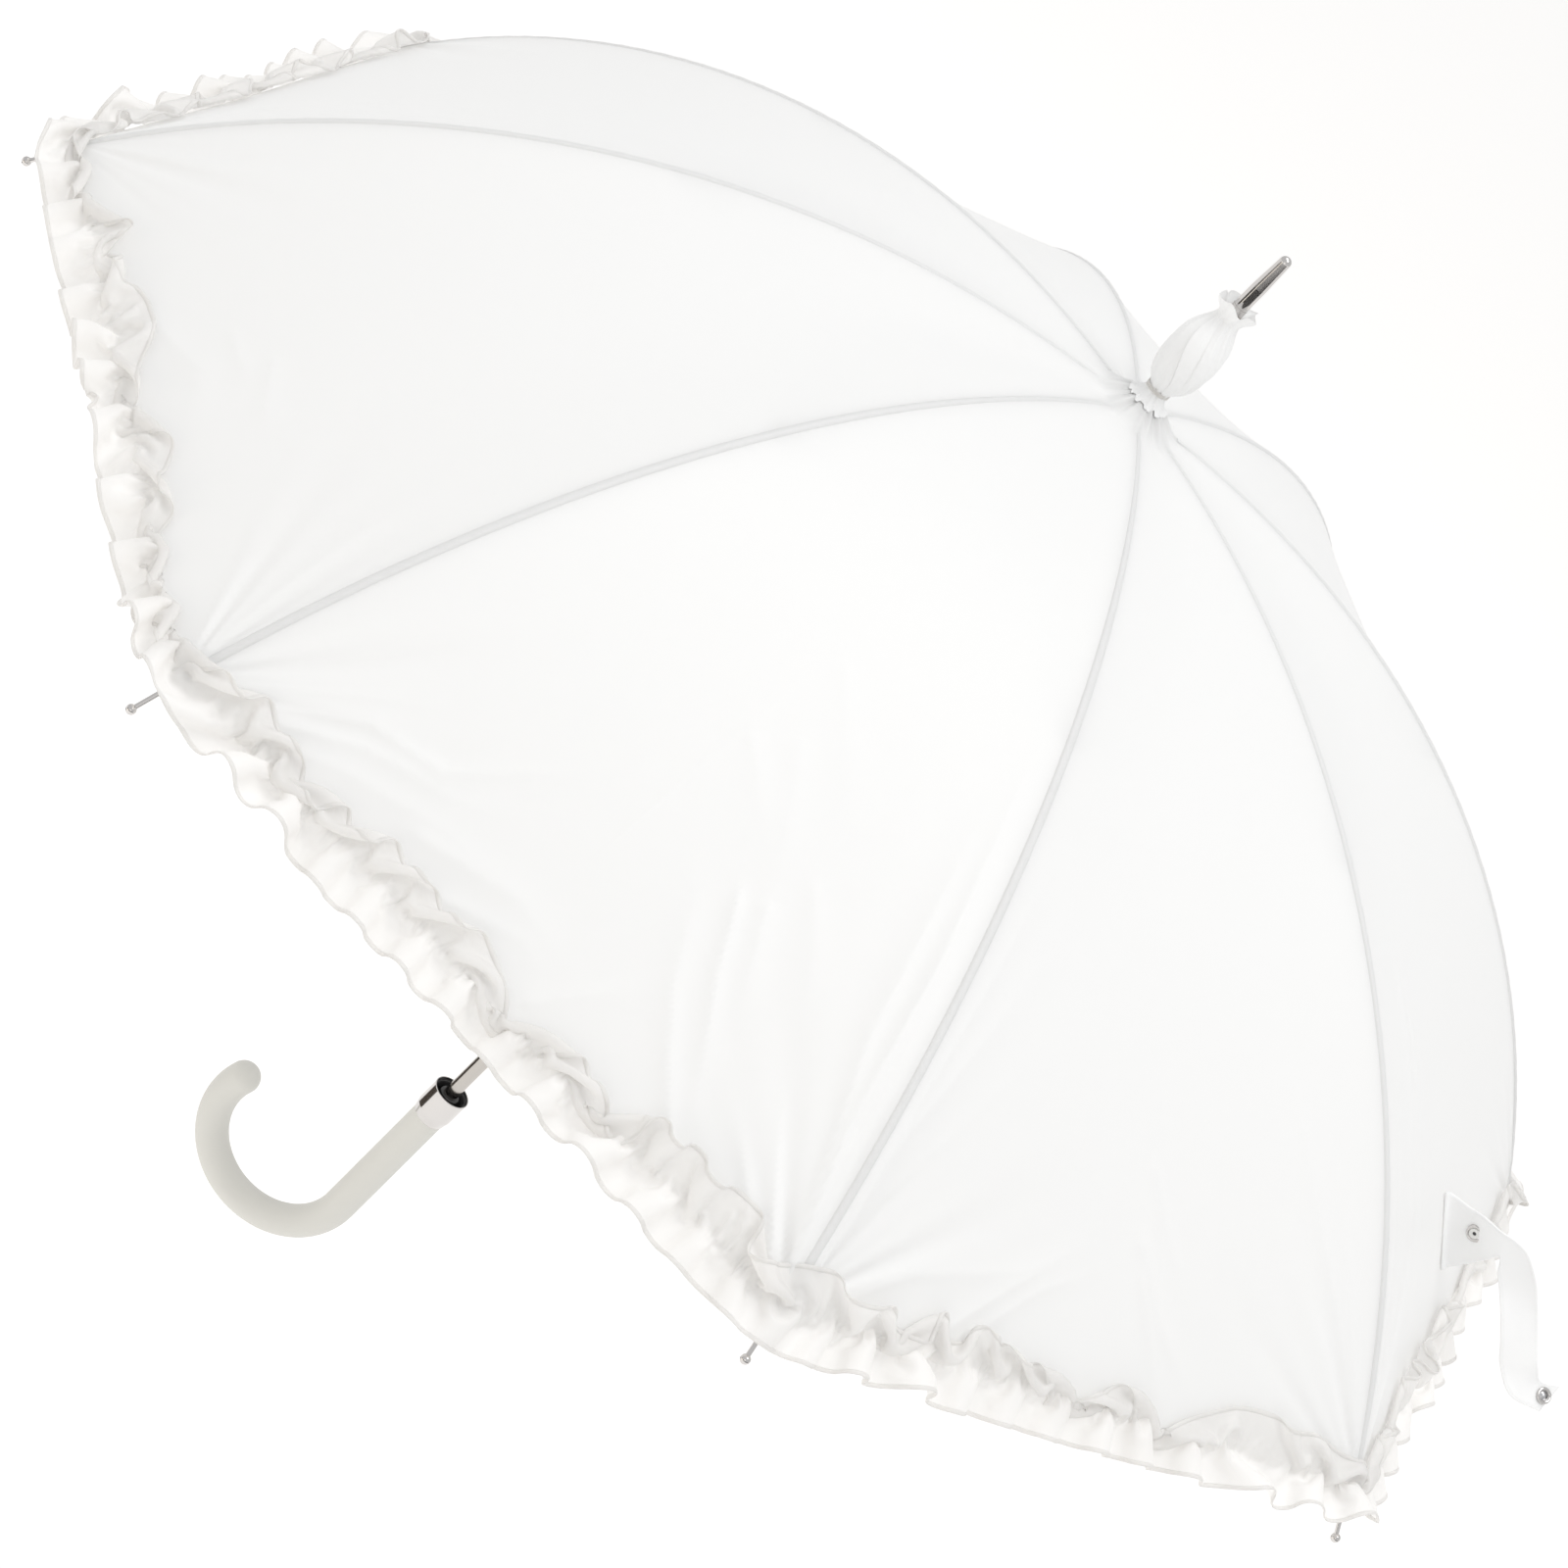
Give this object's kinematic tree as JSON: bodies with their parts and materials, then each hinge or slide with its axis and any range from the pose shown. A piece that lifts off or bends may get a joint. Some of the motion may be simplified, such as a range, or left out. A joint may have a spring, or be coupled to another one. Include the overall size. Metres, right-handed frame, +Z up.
{
  "type": "walking parasol",
  "caption": "Open walking parasol: domed satin canopy with a gathered frill, folding ribs and stretchers on a chrome shaft, crook handle.",
  "frame": {"origin": "on the shaft's axis in the straight part of the handle, where the hand grips it", "axes": "+Z up the shaft to the ferrule; +X along rib 1; the crook turns away from the shaft at -21.6 degrees about +Z"},
  "size_m": [0.9238, 0.9238, 0.7795],
  "materials": {
    "shaft": "polished",
    "ferrule": "polished",
    "notch": "satin",
    "wire": "satin",
    "frame_steel": "satin",
    "rib_tip": "polished",
    "runner": "satin",
    "catch": "satin",
    "canopy_cloth": "satin",
    "frill_cloth": "satin",
    "sleeve_cloth": "satin",
    "thread": "matte",
    "strap_cloth": "satin",
    "snap": "polished",
    "handle": "matte",
    "cup": "polished",
    "insert": "satin"
  },
  "bodies": {
    "stick": {"shaft_tube": "shaft", "ferrule": "ferrule", "top_notch": "notch", "notch_wire": "wire", "crown_sleeve": "sleeve_cloth", "sleeve_tie": "thread", "runner_stop": "wire", "handle": "handle", "tip_cup": "cup", "cup_insert": "insert"},
    "top_catch": {"top_catch": "catch"},
    "bottom_catch": {"bottom_catch": "catch"},
    "runner": {"runner": "runner", "runner_wire": "wire"},
    "rib_1": {"rib_1": "frame_steel", "rib_tip_1": "rib_tip", "canopy_1": "canopy_cloth", "frill_1": "frill_cloth"},
    "stretcher_1": {"stretcher_1": "frame_steel"},
    "rib_2": {"rib_2": "frame_steel", "rib_tip_2": "rib_tip", "canopy_2": "canopy_cloth", "frill_2": "frill_cloth"},
    "stretcher_2": {"stretcher_2": "frame_steel"},
    "rib_3": {"rib_3": "frame_steel", "rib_tip_3": "rib_tip", "canopy_3": "canopy_cloth", "frill_3": "frill_cloth"},
    "stretcher_3": {"stretcher_3": "frame_steel"},
    "rib_4": {"rib_4": "frame_steel", "rib_tip_4": "rib_tip", "canopy_4": "canopy_cloth", "frill_4": "frill_cloth", "strap": "strap_cloth", "snap_stud": "snap", "snap_socket": "snap"},
    "stretcher_4": {"stretcher_4": "frame_steel"},
    "rib_5": {"rib_5": "frame_steel", "rib_tip_5": "rib_tip", "canopy_5": "canopy_cloth", "frill_5": "frill_cloth"},
    "stretcher_5": {"stretcher_5": "frame_steel"},
    "rib_6": {"rib_6": "frame_steel", "rib_tip_6": "rib_tip", "canopy_6": "canopy_cloth", "frill_6": "frill_cloth"},
    "stretcher_6": {"stretcher_6": "frame_steel"},
    "rib_7": {"rib_7": "frame_steel", "rib_tip_7": "rib_tip", "canopy_7": "canopy_cloth", "frill_7": "frill_cloth"},
    "stretcher_7": {"stretcher_7": "frame_steel"},
    "rib_8": {"rib_8": "frame_steel", "rib_tip_8": "rib_tip", "canopy_8": "canopy_cloth", "frill_8": "frill_cloth"},
    "stretcher_8": {"stretcher_8": "frame_steel"}
  },
  "joints": [
    {"name": "rib_1_fold", "type": "hinge", "parent": "stick", "child": "rib_1", "pos_m": [0.0065, 0, 0.5871], "axis": [0, 1, 0], "range_deg": [0, 62.4], "deforming": ["canopy_1", "canopy_2", "canopy_3", "canopy_4", "canopy_5", "canopy_6", "canopy_7", "canopy_8", "frill_1", "frill_2", "frill_3", "frill_4", "frill_5", "frill_6", "frill_7", "frill_8", "strap", "top_catch", "bottom_catch"]},
    {"name": "rib_2_fold", "type": "hinge", "parent": "stick", "child": "rib_2", "pos_m": [0.0046, 0.0046, 0.5871], "axis": [-0.7071, 0.7071, 0], "range_deg": [0, 62.4]},
    {"name": "rib_3_fold", "type": "hinge", "parent": "stick", "child": "rib_3", "pos_m": [0, 0.0065, 0.5871], "axis": [-1, 0, 0], "range_deg": [0, 62.4]},
    {"name": "rib_4_fold", "type": "hinge", "parent": "stick", "child": "rib_4", "pos_m": [-0.0046, 0.0046, 0.5871], "axis": [-0.7071, -0.7071, 0], "range_deg": [0, 62.4]},
    {"name": "rib_5_fold", "type": "hinge", "parent": "stick", "child": "rib_5", "pos_m": [-0.0065, 0, 0.5871], "axis": [0, -1, 0], "range_deg": [0, 62.4]},
    {"name": "rib_6_fold", "type": "hinge", "parent": "stick", "child": "rib_6", "pos_m": [-0.0046, -0.0046, 0.5871], "axis": [0.7071, -0.7071, 0], "range_deg": [0, 62.4]},
    {"name": "rib_7_fold", "type": "hinge", "parent": "stick", "child": "rib_7", "pos_m": [0, -0.0065, 0.5871], "axis": [1, 0, 0], "range_deg": [0, 62.4]},
    {"name": "rib_8_fold", "type": "hinge", "parent": "stick", "child": "rib_8", "pos_m": [0.0046, -0.0046, 0.5871], "axis": [0.7071, 0.7071, 0], "range_deg": [0, 62.4]},
    {"name": "stretcher_1_fold", "type": "hinge", "parent": "rib_1", "child": "stretcher_1", "pos_m": [0.23323, 0, 0.54218], "axis": [0, 1, 0], "range_deg": [-124.8, 0]},
    {"name": "stretcher_2_fold", "type": "hinge", "parent": "rib_2", "child": "stretcher_2", "pos_m": [0.16492, 0.16492, 0.54218], "axis": [-0.7071, 0.7071, 0], "range_deg": [-124.8, 0]},
    {"name": "stretcher_3_fold", "type": "hinge", "parent": "rib_3", "child": "stretcher_3", "pos_m": [0, 0.23323, 0.54218], "axis": [-1, 0, 0], "range_deg": [-124.8, 0]},
    {"name": "stretcher_4_fold", "type": "hinge", "parent": "rib_4", "child": "stretcher_4", "pos_m": [-0.16492, 0.16492, 0.54218], "axis": [-0.7071, -0.7071, 0], "range_deg": [-124.8, 0]},
    {"name": "stretcher_5_fold", "type": "hinge", "parent": "rib_5", "child": "stretcher_5", "pos_m": [-0.23323, 0, 0.54218], "axis": [0, -1, 0], "range_deg": [-124.8, 0]},
    {"name": "stretcher_6_fold", "type": "hinge", "parent": "rib_6", "child": "stretcher_6", "pos_m": [-0.16492, -0.16492, 0.54218], "axis": [0.7071, -0.7071, 0], "range_deg": [-124.8, 0]},
    {"name": "stretcher_7_fold", "type": "hinge", "parent": "rib_7", "child": "stretcher_7", "pos_m": [0, -0.23323, 0.54218], "axis": [1, 0, 0], "range_deg": [-124.8, 0]},
    {"name": "stretcher_8_fold", "type": "hinge", "parent": "rib_8", "child": "stretcher_8", "pos_m": [0.16492, -0.16492, 0.54218], "axis": [0.7071, 0.7071, 0], "range_deg": [-124.8, 0]},
    {"name": "runner_glide", "type": "hinge", "parent": "stretcher_1", "child": "runner", "pos_m": [0.0065, 0, 0.49725], "axis": [0, 1, 0], "range_deg": [0, 62.4]},
    {"name": "top_catch_press", "type": "hinge", "parent": "stick", "child": "top_catch", "pos_m": [0.002, 0, 0.44095], "axis": [0, -1, 0], "range_deg": [0, 7.5], "stiffness_Nm_per_rad": 0.3},
    {"name": "bottom_catch_press", "type": "hinge", "parent": "stick", "child": "bottom_catch", "pos_m": [0.002, 0, 0.16592], "axis": [0, 1, 0], "range_deg": [0, 7.5], "stiffness_Nm_per_rad": 0.3}
  ],
  "couplings": [
    {"joint": "rib_2_fold", "follows": "rib_1_fold", "ratio": 1},
    {"joint": "rib_3_fold", "follows": "rib_1_fold", "ratio": 1},
    {"joint": "rib_4_fold", "follows": "rib_1_fold", "ratio": 1},
    {"joint": "rib_5_fold", "follows": "rib_1_fold", "ratio": 1},
    {"joint": "rib_6_fold", "follows": "rib_1_fold", "ratio": 1},
    {"joint": "rib_7_fold", "follows": "rib_1_fold", "ratio": 1},
    {"joint": "rib_8_fold", "follows": "rib_1_fold", "ratio": 1},
    {"joint": "stretcher_1_fold", "follows": "rib_1_fold", "ratio": -2},
    {"joint": "stretcher_2_fold", "follows": "rib_1_fold", "ratio": -2},
    {"joint": "stretcher_3_fold", "follows": "rib_1_fold", "ratio": -2},
    {"joint": "stretcher_4_fold", "follows": "rib_1_fold", "ratio": -2},
    {"joint": "stretcher_5_fold", "follows": "rib_1_fold", "ratio": -2},
    {"joint": "stretcher_6_fold", "follows": "rib_1_fold", "ratio": -2},
    {"joint": "stretcher_7_fold", "follows": "rib_1_fold", "ratio": -2},
    {"joint": "stretcher_8_fold", "follows": "rib_1_fold", "ratio": -2},
    {"joint": "runner_glide", "follows": "rib_1_fold", "ratio": 1}
  ]
}
